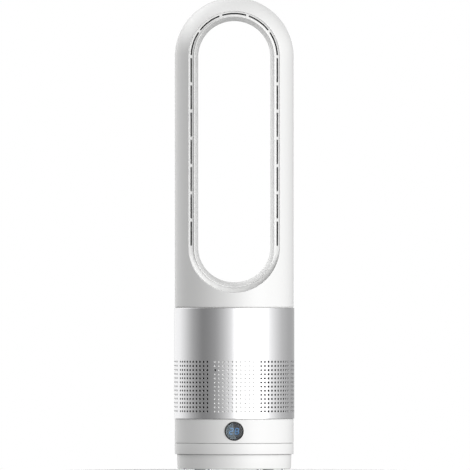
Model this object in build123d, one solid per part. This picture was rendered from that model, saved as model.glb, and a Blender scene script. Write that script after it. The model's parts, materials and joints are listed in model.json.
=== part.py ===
from build123d import *
import math
import os

# Bladeless tower fan. Millimetres, +Z up, origin at the bottom centre, the front faces -Y.
# Azimuths are in degrees from the front (-Y) towards +X.

# ---------------------------------------------------------------- driving dimensions
BODY_R = 102.2            # white cylinder, and the dome that ends the loop
SLEEVE_R = 103.4          # aluminium sleeve
WALL = 2.5                # moulded shells
INNER_R = BODY_R - WALL   # inside of the white shells
SPIGOT_R = INNER_R - 0.3  # rings that nest inside the white shells
SPIGOT_WALL = 2.4
SEAM = 0.6                # visible seam between two stacked rings

FEET_TOP = 3.4
PEDESTAL_TOP = 28.2
TURNTABLE_BOTTOM = 28.6
BAND_SEAM = 47.5          # seam between the turning ring and the display band
BAND_TOP = 88.9
SLEEVE_BOTTOM = 89.6
SLEEVE_TOP = 280.0
LOOP_BOTTOM = 281.6
ARC_LOW = 384.2           # centre height of the opening's lower arc
ARC_HIGH = 711.6          # centre height of the upper arc and of the dome

# pedestal
PEDESTAL_R_TOP = 98.5
PEDESTAL_R_LOW = 97.6
PEDESTAL_EDGE_R = 1.6
DECK_BOTTOM = PEDESTAL_TOP - WALL
BASE_PLATE_R = 94.8
BASE_PLATE_TOP = FEET_TOP + 2.0
POST_R = 30.0             # the turntable runs on this post
POST_TOP = 33.4
NECK_R = 24.0             # the swing gear sits on this neck
NECK_TOP = 38.4
POST_BORE_R = 18.0
FOOT_R = 9.25
FOOT_OFFSET = 58.5
BASE_SCREW_CIRCLE = 84.0
INLET_Z = 15.0
INLET_W = 24.0
INLET_H = 14.0
INLET_BACK = 97.2
INLET_FRONT = 82.0
PIN_SPACING = 8.6

# swing drive
GEAR_MODULE = 1.2
RING_TEETH = 60
PINION_TEETH = 15
PRESSURE_ANGLE = math.radians(20)
BACKLASH = 0.24
GEAR_SCREW_CIRCLE = 27.2
PINION_Y = GEAR_MODULE * (RING_TEETH + PINION_TEETH) / 2
SWING_SHAFT_R = 2.5
MOTOR_EAR_Z = 44.0
MOTOR_EAR_X = 29.0

# turntable and display band
FLOOR_BOTTOM = 30.2
FLOOR_TOP = 33.0
HOUSING_DECK_BOTTOM = 84.2
HOUSING_DECK_TOP = 86.7
PILLAR_CIRCLE = 88.0
PILLAR_AZIMUTHS = (50, 130, 230, 310)
BOARD_BOTTOM = 66.5
BOARD_TOP = 68.1
BOARD_POSTS = ((-52, -40), (52, -40), (-52, 48), (52, 48))

# round display, which is also the power button
DISPLAY_Z = 68.6
BEZEL_R = 16.15
LENS_R = 14.2
POCKET_R = 16.5
COLLAR_R = 17.9
BEZEL_FRONT = -102.6
BEZEL_BACK = -97.5
LENS_FRONT = -102.0
LENS_BACK = -100.2
LED_FRONT = -98.9
DISPLAY_BOARD_FRONT = -91.0

# column with the sleeve
CHASSIS_R = 101.0
CHASSIS_IN = 98.6
SEAT_R = 101.8            # low rims that carry the sleeve
SHEET = 1.2               # sleeve thickness
HOLES_LOW = 97.0          # the perforated height
HOLES_HIGH = 193.0
SPLIT_AZIMUTH = 112.5     # where the rear cover meets the front sleeve
SPLIT_GAP = 0.3           # degrees each side of the split
RECEIVER_AZIMUTH = -18.41
RECEIVER_Z = 173.4
CATCH_PLACES = ((152, 215), (208, 215), (152, 262), (208, 262))

# filter and intake
FILTER_R = 87.5
FILTER_IN = 66.0
FILTER_START = 97.0
FILTER_LOW = HOLES_LOW + 0.5
FILTER_HIGH = HOLES_HIGH - 0.5
CAGE_R = 60.0
CAGE_SLOTS = 18

# blower
BLOWER_FLOOR = 197.3
BLOWER_R = 93.0
BLOWER_IN = 90.5
BLOWER_TOP = 262.0
EYE_R = 40.0
IMPELLER_LOW = 203.0
IMPELLER_TOP = 248.0
IMPELLER_BLADES = 9
SHAFT_R = 4.0
MOTOR_R = 32.0
MOTOR_LOW = 252.0
MOTOR_TOP = 287.0
DIFFUSER_LOW = 250.5
DIFFUSER_TOP = 290.0
DIFFUSER_VANES = 11
FLANGE_BOTTOM = 279.0     # adapter flange between the chassis and the loop
FLANGE_TOP = 281.3
ADAPTER_TOP = 286.5
ADAPTER_SCREW_CIRCLE = 94.8
LEAD_R = 1.6
LEAD_CIRCLE = 95.2
LEAD_AZIMUTH = 20.0

# loop
SHELL_OPENING = 77.8      # half-widths of the stadium outlines, from outside in
CHANNEL_OUT = 77.6
SLOT_MIDDLE = 73.9
CHANNEL_IN = 69.8
LINER_IN = 68.1
LINER_WALL = 1.5
LINER_FRONT = -67.5
DRAFT = 3.22              # degrees, the liner narrows towards the back
CHANNEL_FRONT = -64.5
CHANNEL_THICKNESS = 2.0
RETURN_FLANGE = 2.2
SLOT_WIDTH = 2.3
SLOT_LENGTH = 41.8
SLOTS_PER_SIDE = 7
ARC_SLOTS = 5
ARC_SLOT_SPAN = 32.3
LOOP_BACK = 42.0          # flat back of the loop
SHOULDER_HIGH = 352.0     # where the sloped shoulder meets the loop's back
SHOULDER_EDGE_R = 14.0
BACK_EDGE_R = 12.0
PARTING = 0.15            # half the gap between the front and rear shells
LOOP_SCREW_OFFSET = 82.6
LOOP_SCREW_HEIGHTS = (440, 550, 660)

FAR = 400.0               # larger than any cut needs


# ---------------------------------------------------------------- helpers
def at(radius, azimuth):
    """X and Y of a point at this radius and azimuth."""
    angle = math.radians(azimuth)
    return radius * math.sin(angle), -radius * math.cos(angle)


def disc(radius, low, high, x=0.0, y=0.0):
    """Upright cylinder between two heights."""
    return Pos(x, y, low) * Cylinder(radius, high - low, align=(Align.CENTER, Align.CENTER, Align.MIN))


def ring(outer, inner, low, high, x=0.0, y=0.0):
    """Upright tube between two heights."""
    return disc(outer, low, high, x, y) - disc(inner, low - 1, high + 1, x, y)


def arc_wall(outer, inner, start, end, low, high):
    """Piece of an upright tube between two azimuths."""
    corners = [(-outer, low), (-inner, low), (-inner, high), (-outer, high)]
    section = make_face(Polyline(*corners, close=True))
    return Rot(0, 0, start) * revolve(Plane.YZ * section, Axis.Z, end - start)


def block(x0, x1, y0, y1, z0, z1):
    """Box from its limits."""
    box = Box(x1 - x0, y1 - y0, z1 - z0, align=(Align.MIN, Align.MIN, Align.MIN))
    return Pos(x0, y0, z0) * box


def rod_y(radius, front, back, x, z):
    """Cylinder along Y."""
    return Pos(x, (front + back) / 2, z) * Rot(90, 0, 0) * Cylinder(radius, back - front)


def rod_out(radius, r0, r1, azimuth, z):
    """Cylinder that points outwards from the axis."""
    return Rot(0, 0, azimuth) * Pos(0, -(r0 + r1) / 2, z) * Rot(90, 0, 0) * Cylinder(radius, r1 - r0)


def block_out(width, r0, r1, azimuth, z0, z1):
    """Box that points outwards from the axis."""
    return Rot(0, 0, azimuth) * block(-width / 2, width / 2, -r1, -r0, z0, z1)


def revolved(points):
    """Solid turned about Z from radius and height points."""
    return revolve(Plane.XZ * make_face(Polyline(*points, close=True)), Axis.Z)


def screw(head_r, head_low, head_high, shank_r, tip, x, y):
    """Vertical screw whose shank goes up to tip."""
    return disc(head_r, head_low, head_high, x, y) + disc(shank_r, head_high, tip, x, y)


def group(solids):
    """Separate solids kept in one node."""
    return Compound(children=[piece.solid() for piece in solids])


# ---------------------------------------------------------------- pedestal
def base_screw_places():
    return [at(BASE_SCREW_CIRCLE, 30 + 60 * i) for i in range(6)]


def inlet_hole():
    """Hole for the mains inlet, at the back of the pedestal."""
    half = INLET_W / 2 + 0.2
    top = INLET_Z + INLET_H / 2 + 0.2
    return block(-half, half, INLET_FRONT, FAR, 2 * INLET_Z - top, top)


def base_pan():
    outline = [(0, FEET_TOP), (PEDESTAL_R_LOW, FEET_TOP), (PEDESTAL_R_TOP, PEDESTAL_TOP), (0, PEDESTAL_TOP)]
    outer = revolved(outline)
    outer = fillet(outer.edges().sort_by(Axis.Z)[0], PEDESTAL_EDGE_R)
    pan = outer - disc(PEDESTAL_R_LOW - WALL, FEET_TOP - 1, DECK_BOTTOM)
    pan += disc(POST_R, DECK_BOTTOM, POST_TOP)
    pan += disc(NECK_R, DECK_BOTTOM, NECK_TOP)
    for x, y in base_screw_places():
        pan += disc(5.0, BASE_PLATE_TOP, DECK_BOTTOM + 1, x, y)
        pan -= disc(1.6, BASE_PLATE_TOP - 1, 15.0, x, y)
    for x, y in gear_screw_places():
        pan -= disc(1.5, DECK_BOTTOM + 0.8, POST_TOP + 1, x, y)
    pan -= disc(POST_BORE_R, 0, FAR)
    return pan - inlet_hole()


def base_plate():
    plate = disc(BASE_PLATE_R, FEET_TOP, BASE_PLATE_TOP)
    for x, y in base_screw_places():
        plate -= disc(1.8, 0, FAR, x, y)
    return plate


def ballast_plate():
    return ring(72.0, 24.0, BASE_PLATE_TOP, 17.0)


def rubber_feet():
    feet = []
    for x in (-FOOT_OFFSET, FOOT_OFFSET):
        for y in (-FOOT_OFFSET, FOOT_OFFSET):
            foot = disc(FOOT_R, 0, FEET_TOP, x, y)
            feet.append(fillet(foot.edges().sort_by(Axis.Z)[0], 0.7))
    return group(feet)


def base_screws():
    return group([screw(3.2, 1.6, FEET_TOP, 1.5, 14.0, x, y) for x, y in base_screw_places()])


def power_inlet():
    """Two-pin mains socket with a rounded recess that opens backwards."""
    half_w = INLET_W / 2
    half_h = INLET_H / 2
    body = block(-half_w, half_w, INLET_FRONT, INLET_BACK, INLET_Z - half_h, INLET_Z + half_h)
    outline = Plane.XZ * Pos(0, INLET_Z) * SlotOverall(16.5, 9.0)
    recess = Pos(0, INLET_BACK + 1, 0) * extrude(outline, amount=13.0)
    body -= recess
    for x in (-PIN_SPACING / 2, PIN_SPACING / 2):
        body -= rod_y(1.25, INLET_FRONT + 1, INLET_BACK, x, INLET_Z)
    return body


def inlet_pins():
    places = (-PIN_SPACING / 2, PIN_SPACING / 2)
    return group([rod_y(1.2, INLET_FRONT + 1.5, INLET_BACK - 2, x, INLET_Z) for x in places])


def glide_ring():
    """Low-friction ring that the turntable slides on."""
    return ring(80.0, 60.0, PEDESTAL_TOP, 30.0)


# ---------------------------------------------------------------- swing drive
def gear_screw_places():
    return [at(GEAR_SCREW_CIRCLE, 120 * i) for i in range(3)]


def gear_face(teeth, first_tooth):
    """Involute gear outline, with one tooth centred at first_tooth degrees from +X."""
    pitch_r = teeth * GEAR_MODULE / 2
    base_r = pitch_r * math.cos(PRESSURE_ANGLE)
    tip_r = pitch_r + 0.9 * GEAR_MODULE
    root_r = pitch_r - 1.2 * GEAR_MODULE

    def involute(radius):
        slope = math.acos(min(1.0, base_r / radius))
        return math.tan(slope) - slope

    half_tooth = math.pi / (2 * teeth) - BACKLASH / (2 * pitch_r) + involute(pitch_r)
    flank_low = max(base_r, root_r)
    steps = [flank_low + (tip_r - flank_low) * i / 4 for i in range(5)]
    points = []
    for tooth in range(teeth):
        centre = math.radians(first_tooth) + 2 * math.pi * tooth / teeth
        rising = [(root_r, centre - half_tooth)] + [(r, centre - half_tooth + involute(r)) for r in steps]
        falling = [(r, 2 * centre - angle) for r, angle in reversed(rising)]
        points += [(r * math.cos(a), r * math.sin(a)) for r, a in rising + falling]
    distinct = [points[0]]
    for point in points[1:]:
        if math.dist(point, distinct[-1]) > 0.01:
            distinct.append(point)
    return make_face(Polyline(*distinct, close=True))


def swing_gear():
    """Fixed gear on the post. Its underside also keeps the turntable down."""
    gear = Pos(0, 0, POST_TOP) * extrude(gear_face(RING_TEETH, 90 + 180 / RING_TEETH), NECK_TOP - POST_TOP)
    gear -= disc(NECK_R + 0.1, 0, FAR)
    for x, y in gear_screw_places():
        gear -= disc(1.7, 0, FAR, x, y)
    return gear


def gear_screws():
    screws = []
    for x, y in gear_screw_places():
        screws.append(disc(2.6, NECK_TOP, NECK_TOP + 2.0, x, y) + disc(1.4, 27.5, NECK_TOP, x, y))
    return group(screws)


def swing_pinion():
    gear = Pos(0, PINION_Y, 34.0) * extrude(gear_face(PINION_TEETH, 270), 4.2)
    return gear - disc(SWING_SHAFT_R + 0.05, 0, FAR, 0, PINION_Y)


def swing_shaft():
    return disc(SWING_SHAFT_R, 33.6, 51.8, 0, PINION_Y)


def swing_motor():
    """Flat geared motor with two mounting ears."""
    ears = Pos(0, PINION_Y, MOTOR_EAR_Z) * extrude(SlotOverall(2 * MOTOR_EAR_X + 10, 10), 1.2)
    motor = ears + disc(24.5, MOTOR_EAR_Z + 1.2, 60.0, 0, PINION_Y)
    motor += disc(7.0, MOTOR_EAR_Z - 2.0, MOTOR_EAR_Z + 2, 0, PINION_Y)
    motor -= disc(SWING_SHAFT_R + 0.08, 0, 52.2, 0, PINION_Y)
    for x in (-MOTOR_EAR_X, MOTOR_EAR_X):
        motor -= disc(1.8, 0, MOTOR_EAR_Z + 1.2, x, PINION_Y)
    return motor


def swing_motor_screws():
    screws = []
    for x in (-MOTOR_EAR_X, MOTOR_EAR_X):
        head = disc(2.9, MOTOR_EAR_Z + 1.2, MOTOR_EAR_Z + 3.2, x, PINION_Y)
        screws.append(head + disc(1.4, 35.0, MOTOR_EAR_Z + 1.2, x, PINION_Y))
    return group(screws)


# ---------------------------------------------------------------- turntable and display band
def turntable():
    table = ring(BODY_R, INNER_R, TURNTABLE_BOTTOM, BAND_SEAM - SEAM / 2)
    table += ring(INNER_R + 0.5, POST_R + 0.08, FLOOR_BOTTOM, FLOOR_TOP)
    table += ring(SPIGOT_R, SPIGOT_R - SPIGOT_WALL, FLOOR_BOTTOM, 50.4)
    table += ring(INNER_R + 0.5, SPIGOT_R - SPIGOT_WALL, 38.0, 42.0)
    for x in (-MOTOR_EAR_X, MOTOR_EAR_X):
        table += ring(4.5, 1.5, FLOOR_BOTTOM + 1, MOTOR_EAR_Z, x, PINION_Y)
    for azimuth in PILLAR_AZIMUTHS:
        x, y = at(PILLAR_CIRCLE, azimuth)
        table -= disc(3.2, 0, 31.8, x, y)
        table -= disc(1.7, 0, 34.0, x, y)
    return table


def turntable_screws():
    places = [at(PILLAR_CIRCLE, azimuth) for azimuth in PILLAR_AZIMUTHS]
    return group([screw(2.9, 30.5, 31.8, 1.4, 45.0, x, y) for x, y in places])


def display_housing():
    housing = ring(BODY_R, INNER_R, BAND_SEAM + SEAM / 2, BAND_TOP)
    housing += disc(INNER_R + 0.5, HOUSING_DECK_BOTTOM, HOUSING_DECK_TOP)
    housing += rod_y(COLLAR_R, -INNER_R - 0.5, DISPLAY_BOARD_FRONT - 0.2, 0, DISPLAY_Z) & disc(INNER_R + 1, 0, FAR)
    housing -= rod_y(POCKET_R, -FAR, DISPLAY_BOARD_FRONT + 1, 0, DISPLAY_Z)
    for azimuth in PILLAR_AZIMUTHS:
        x, y = at(PILLAR_CIRCLE, azimuth)
        housing += ring(4.0, 1.5, FLOOR_TOP, HOUSING_DECK_BOTTOM + 0.5, x, y)
    for x, y in BOARD_POSTS:
        housing += ring(4.0, 1.5, BOARD_TOP, HOUSING_DECK_BOTTOM + 0.5, x, y)
    x, y = at(LEAD_CIRCLE, LEAD_AZIMUTH)
    return housing - disc(LEAD_R + 0.4, HOUSING_DECK_BOTTOM - 1, HOUSING_DECK_TOP + 1, x, y)


def display_ring():
    return rod_y(BEZEL_R, BEZEL_FRONT, BEZEL_BACK, 0, DISPLAY_Z) - rod_y(LENS_R + 0.1, -FAR, 0, 0, DISPLAY_Z)


def display_lens():
    return rod_y(LENS_R, LENS_FRONT, LENS_BACK, 0, DISPLAY_Z)


def led_display():
    """Number display behind the lens, soldered to its board."""
    return rod_y(LENS_R - 0.6, LED_FRONT, DISPLAY_BOARD_FRONT, 0, DISPLAY_Z)


def display_board():
    return block(-21, 21, DISPLAY_BOARD_FRONT, DISPLAY_BOARD_FRONT + 1.6, 54.0, 83.0)


def push_switches():
    """Two small switches that the display ring presses."""
    switches = []
    for x in (-15.3, 15.3):
        switches.append(block(x - 0.9, x + 0.9, -96.5, DISPLAY_BOARD_FRONT, DISPLAY_Z - 1.4, DISPLAY_Z + 1.4))
    return group(switches)


def main_board():
    board = disc(81.5, BOARD_BOTTOM, BOARD_TOP) & block(-FAR, FAR, -70, FAR, 0, FAR)
    for x, y in BOARD_POSTS:
        board -= disc(1.7, 0, FAR, x, y)
    return board


def board_components():
    top = BOARD_TOP
    lead_x = at(LEAD_CIRCLE, LEAD_AZIMUTH)[0]
    return group([
        block(-14, 14, 22, 46, top, top + 13.5),
        block(22, 40, 2, 16, top, top + 12),
        block(-8, 8, -20, -4, top, top + 1.6),
        block(16, 26, -34, -26, top, top + 1.4),
        block(lead_x - 5, lead_x + 5, -69, -63, top, top + 4),
        block(-6, 6, 62, 70, top, top + 8),
        disc(7.0, top, top + 14, -32, 22),
        disc(7.0, top, top + 14, -32, 4),
        disc(4.0, top, top + 10, 44, -14),
    ])


def board_screws():
    return group([screw(2.8, BOARD_BOTTOM - 2, BOARD_BOTTOM, 1.4, 78.0, x, y) for x, y in BOARD_POSTS])


# ---------------------------------------------------------------- chassis and sleeve
def chassis():
    """Inner frame of the column, with windows behind the side and rear blocks of holes."""
    frame = ring(CHASSIS_R, CHASSIS_IN, BAND_TOP + 0.3, FLANGE_BOTTOM)
    frame += ring(SPIGOT_R, SPIGOT_R - SPIGOT_WALL, HOUSING_DECK_TOP, 91.0)
    frame += ring(SEAT_R, CHASSIS_IN, SLEEVE_BOTTOM + 0.6, SLEEVE_BOTTOM + 4)
    frame += ring(SEAT_R, CHASSIS_IN, FLANGE_BOTTOM - 4, FLANGE_BOTTOM)
    frame += ring(CHASSIS_R - 1, 91.5, FLANGE_BOTTOM - 2.5, FLANGE_BOTTOM)
    frame += ring(CHASSIS_R - 1, 92.0, 193.6, 196.0)
    for azimuth in (45, 90, 270, 315):
        frame -= arc_wall(FAR / 2, 95.0, azimuth - 19.5, azimuth + 19.5, HOLES_LOW + 1.5, HOLES_HIGH - 1.5)
    frame -= arc_wall(FAR / 2, 90.0, 114, 246, HOLES_LOW, HOLES_HIGH)
    for azimuth in (94.3, -94.3):
        frame += block_out(1.6, CAGE_R + 0.8, CHASSIS_IN + 0.4, azimuth, HOUSING_DECK_TOP, 193.8)
    for azimuth, z in CATCH_PLACES:
        frame -= rod_out(6.1, 99.5, 110.0, azimuth, z)
    frame -= rod_out(2.4, 90.0, 110.0, RECEIVER_AZIMUTH, RECEIVER_Z)
    for x, y in adapter_screw_places():
        frame -= disc(1.7, 270, FAR, x, y)
    x, y = at(LEAD_CIRCLE, LEAD_AZIMUTH)
    return frame - disc(LEAD_R + 0.4, 190, 198, x, y)


def front_sleeve():
    limit = SPLIT_AZIMUTH - SPLIT_GAP
    return arc_wall(SLEEVE_R, SLEEVE_R - SHEET, -limit, limit, SLEEVE_BOTTOM, SLEEVE_TOP)


def ir_receiver():
    """Remote-control receiver whose dome looks out of one hole of the sleeve."""
    nose = rod_out(2.0, 97.0, 101.9, RECEIVER_AZIMUTH, RECEIVER_Z)
    return nose + block_out(7.0, 92.5, 97.5, RECEIVER_AZIMUTH, RECEIVER_Z - 4, RECEIVER_Z + 4)


def side_prefilters():
    """Fine mesh behind the side blocks of holes."""
    sheets = []
    for start, end in ((25, 93), (-93, -25)):
        sheets.append(arc_wall(CHASSIS_IN - 0.2, CHASSIS_IN - 3, start, end, HOLES_LOW, HOLES_HIGH))
    return group(sheets)


def intake_cage():
    """Slotted guard round the air intake."""
    cage = ring(CAGE_R, CAGE_R - 2, HOUSING_DECK_TOP, 195.0)
    for i in range(CAGE_SLOTS):
        cage -= block_out(7.0, CAGE_R - 6, CAGE_R + 6, (i + 0.5) * 360 / CAGE_SLOTS, 96.0, 188.0)
    return cage


def rear_cover():
    start = SPLIT_AZIMUTH + SPLIT_GAP
    return arc_wall(SLEEVE_R, SLEEVE_R - SHEET, start, 360 - start, SLEEVE_BOTTOM, SLEEVE_TOP)


def cover_frame():
    """Two arched brackets that hold the filter to the rear cover."""
    arches = []
    for low in (106.0, 182.0):
        arches.append(arc_wall(SLEEVE_R - SHEET - 0.1, FILTER_R + 0.1, 118, 242, low, low + 2.5))
    return group(arches)


def cover_magnets():
    return group([rod_out(5.0, 101.35, 102.0, azimuth, z) for azimuth, z in CATCH_PLACES])


def catch_plates():
    return group([rod_out(6.0, 99.6, 100.6, azimuth, z) for azimuth, z in CATCH_PLACES])


def filter_frame():
    start = FILTER_START
    frame = arc_wall(FILTER_R, FILTER_IN, start, 360 - start, FILTER_LOW, FILTER_HIGH)
    hollow = arc_wall(FAR / 2, FILTER_IN - 1, start + 3, 357 - start, FILTER_LOW + 2.5, FILTER_HIGH - 2.5)
    return frame - hollow


def filter_media():
    """Pleated paper, as one block."""
    start = FILTER_START + 3.2
    return arc_wall(FILTER_R - 1, FILTER_IN + 1, start, 360 - start, FILTER_LOW + 2.6, FILTER_HIGH - 2.6)


def filter_seals():
    """Foam strips on the two edges of the filter."""
    strips = []
    for start, end in ((95.6, FILTER_START), (360 - FILTER_START, 264.4)):
        strips.append(arc_wall(FILTER_R - 1.5, FILTER_IN + 1.5, start, end, FILTER_LOW + 1, FILTER_HIGH - 1))
    return group(strips)


# ---------------------------------------------------------------- blower
def isolation_ring():
    soft = ring(97.0, 92.5, 196.0, BLOWER_FLOOR)
    x, y = at(LEAD_CIRCLE, LEAD_AZIMUTH)
    return soft - disc(LEAD_R + 0.4, 0, FAR, x, y)


def blower_bucket():
    """Blower casing with a flared intake lip below it."""
    bucket = ring(BLOWER_R, BLOWER_IN, BLOWER_FLOOR, BLOWER_TOP)
    bucket += ring(97.0, EYE_R, BLOWER_FLOOR, BLOWER_FLOOR + 2.2)
    lip = [(EYE_R, 199.0), (EYE_R, 194.0), (42.0, 190.5), (46.0, 189.0), (46.0, 191.0), (43.5, 192.5),
           (42.3, 195.0), (42.3, 199.0)]
    bucket += revolved(lip)
    x, y = at(LEAD_CIRCLE, LEAD_AZIMUTH)
    return bucket - disc(LEAD_R + 0.4, 0, FAR, x, y)


def impeller():
    """Mixed-flow impeller: hub, backward-curved blades and a thin shroud."""
    low, top = IMPELLER_LOW, IMPELLER_TOP
    bore = SHAFT_R + 0.05
    hub = revolved([(bore, low + 3), (14, low + 3), (22, 220), (42, 238), (79, 245.5), (79, top), (41, 240.6),
                    (20, 222.5), (12.5, low + 6), (9, low + 6), (9, top - 2), (bore, top - 2)])
    shroud = revolved([(EYE_R, low), (42.0, low), (50, 216), (80, 232), (80, 234), (49, 218)])
    passage = revolved([(13, low + 3.5), (20, low + 0.5), (EYE_R + 0.8, low + 0.5), (49.5, 217), (78.5, 233),
                        (78.5, 246.5), (41, 239), (21, 221)])
    blade = ring(62.0, 60.2, low, top, 44, 40) & block(0, FAR, -FAR, 15, low, top) & passage
    wheel = hub + shroud
    for i in range(IMPELLER_BLADES):
        wheel += Rot(0, 0, i * 360 / IMPELLER_BLADES) * blade
    return wheel.solid()


def impeller_nut():
    nut = Pos(0, 0, 200.5) * extrude(RegularPolygon(6.5, 6), 5.3)
    return nut - disc(SHAFT_R + 0.05, 0, FAR)


def motor_shaft():
    return disc(SHAFT_R, 199.0, 288.5)


def motor_rotor():
    return ring(20.0, SHAFT_R + 0.05, 259.0, 279.0)


def motor_stator():
    stator = ring(29.9, 20.6, 258.5, 279.5)
    for i in range(9):
        stator -= block_out(3.0, 19.0, 26.5, i * 40, 250, 290)
    return stator


def motor_housing():
    case = disc(MOTOR_R, MOTOR_LOW, MOTOR_TOP) - disc(MOTOR_R - 2, MOTOR_LOW + 2.5, MOTOR_TOP - 2.5)
    return case - disc(9.05, 0, FAR)


def motor_bearings():
    return group([ring(9.0, SHAFT_R + 0.05, 252.0, 256.5), ring(9.0, SHAFT_R + 0.05, 282.5, 287.0)])


def motor_sleeve():
    """Rubber sleeve that keeps the motor's hum out of the casing."""
    return ring(32.9, 32.1, 255.0, 285.0)


def diffuser():
    """Vaned ring above the impeller. It holds the motor and straightens the air."""
    part = ring(36.0, 33.0, DIFFUSER_LOW, DIFFUSER_TOP)
    part += ring(90.0, 88.0, DIFFUSER_LOW, DIFFUSER_TOP)
    part += ring(BLOWER_R, 88.0, BLOWER_TOP + 0.2, BLOWER_TOP + 2.7)
    for i in range(DIFFUSER_VANES):
        part += block_out(1.6, 35.5, 88.5, i * 360 / DIFFUSER_VANES, 256.0, 288.0)
    return part


def motor_cap():
    """Cone that closes the motor bay."""
    top = [(36.0, 290.2), (36.0, 292.0), (26.0, 299.0), (0, 301.0)]
    underside = [(0, 298.8), (24.5, 297.0), (33.0, 290.2)]
    return revolved(top + underside)


def diffuser_gasket():
    return ring(91.4, 90.1, 275.5, FLANGE_BOTTOM)


def terminal_block():
    return block_out(10.0, 90.2, 97.8, LEAD_AZIMUTH, 266.0, 274.0)


def motor_lead():
    """Supply lead of the blower motor, from the main board up the front of the column."""
    x, y = at(LEAD_CIRCLE, LEAD_AZIMUTH)
    route = FilletPolyline((x, -66, BOARD_TOP + 4), (x, -66, 79), (x, y, 79), (x, y, 266.0), radius=5)
    return sweep(Plane(route @ 0, z_dir=route % 0) * Circle(LEAD_R), path=route)


# ---------------------------------------------------------------- adapter between column and loop
def adapter_screw_places():
    return [at(ADAPTER_SCREW_CIRCLE, 36 + 60 * i) for i in range(6)]


def adapter_ring():
    part = ring(CHASSIS_R, 91.5, FLANGE_BOTTOM, FLANGE_TOP)
    part += ring(SPIGOT_R, SPIGOT_R - SPIGOT_WALL, FLANGE_BOTTOM, ADAPTER_TOP)
    for x, y in adapter_screw_places():
        part += disc(3.2, FLANGE_BOTTOM, ADAPTER_TOP, x, y)
        part -= disc(1.5, 0, ADAPTER_TOP - 1, x, y)
    return part


def adapter_screws():
    places = adapter_screw_places()
    low = FLANGE_BOTTOM - 4.5
    return group([screw(2.7, low, low + 2, 1.4, ADAPTER_TOP - 2, x, y) for x, y in places])


# ---------------------------------------------------------------- loop
def stadium(half_width, front, back, taper=0.0):
    """Prism along Y with the outline of the loop's opening, from front to back."""
    outline = SlotCenterToCenter(ARC_HIGH - ARC_LOW, 2 * half_width, rotation=90)
    plane = Plane((0, front, (ARC_LOW + ARC_HIGH) / 2), x_dir=(-1, 0, 0), z_dir=(0, 1, 0))
    return extrude(plane * outline, amount=back - front, taper=taper)


def leg_section(inset):
    """Plan outline of the loop: a circle with a flat back and rounded back corners."""
    y_back = LOOP_BACK - inset
    kept = Pos(0, y_back - FAR / 2) * Rectangle(FAR, FAR)
    outline = Circle(BODY_R - inset) & kept
    corners = [corner for corner in outline.vertices() if corner.Y > y_back - 1]
    return fillet(corners, BACK_EDGE_R - inset)


def shoulder(inset):
    """Lower end of the loop housing: a full cylinder cut by a 45 degree slope at the back."""
    slope_z = SHOULDER_HIGH - inset * math.sqrt(2)
    cut = Polyline(
        (LOOP_BACK - 40, slope_z + 40),
        (LOOP_BACK + 160, slope_z - 160),
        (LOOP_BACK + 160, slope_z + 40),
        close=True,
    )
    form = disc(BODY_R - inset, LOOP_BOTTOM - inset, SHOULDER_HIGH + 30)
    form -= extrude(Plane.YZ * make_face(cut), amount=FAR, both=True)
    return fillet(form.edges().filter_by(GeomType.ELLIPSE), SHOULDER_EDGE_R - inset)


def loop_body(inset):
    """Solid form of the loop and its housing, before the opening is cut."""
    section = leg_section(inset)
    legs = Pos(0, 0, LOOP_BOTTOM - inset) * extrude(section, ARC_HIGH - LOOP_BOTTOM + inset)
    half = section & Pos(FAR / 2, 0) * Rectangle(FAR, FAR)
    dome = revolve(Pos(0, 0, ARC_HIGH) * half, Axis((0, 0, ARC_HIGH), (0, -1, 0)), 180)
    return legs + dome + shoulder(inset)


def liner_hole(half_width, front):
    """Drafted stadium that narrows towards the back."""
    shift = (front - LINER_FRONT) * math.tan(math.radians(DRAFT))
    return stadium(half_width - shift, front, 110.0, taper=DRAFT)


def loop_screw_places():
    """X and Z of the screws that join the two loop shells."""
    sides = [(side * LOOP_SCREW_OFFSET, z) for side in (-1, 1) for z in LOOP_SCREW_HEIGHTS]
    return sides + [(0, ARC_HIGH + LOOP_SCREW_OFFSET)]


def loop_front_shell(outer, inner):
    half = block(-FAR, FAR, -FAR, -PARTING, 0, 900)
    shell = (outer - inner) & half
    shell -= stadium(SHELL_OPENING, -FAR, 0)
    flange = stadium(SHELL_OPENING + RETURN_FLANGE, -110, CHANNEL_FRONT + 3) - stadium(SHELL_OPENING, -FAR, 0)
    shell += flange & outer
    for x, z in loop_screw_places():
        boss = rod_y(4.5, -90, -PARTING, x, z) & loop_body(WALL / 2)
        shell += boss
        shell -= rod_y(1.5, -16, 0, x, z)
    return shell


def loop_rear_shell(outer, inner):
    half = block(-FAR, FAR, PARTING, FAR, 0, 900)
    shell = (outer - inner) & half
    for x, z in loop_screw_places():
        shell += rod_y(4.5, PARTING, LOOP_BACK - 1, x, z)
        shell -= rod_y(3.4, 3.0, LOOP_BACK + 1, x, z)
        shell -= rod_y(1.7, 0, 4.0, x, z)
    return shell - liner_hole(LINER_IN + LINER_WALL + 0.15, LINER_FRONT)


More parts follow.
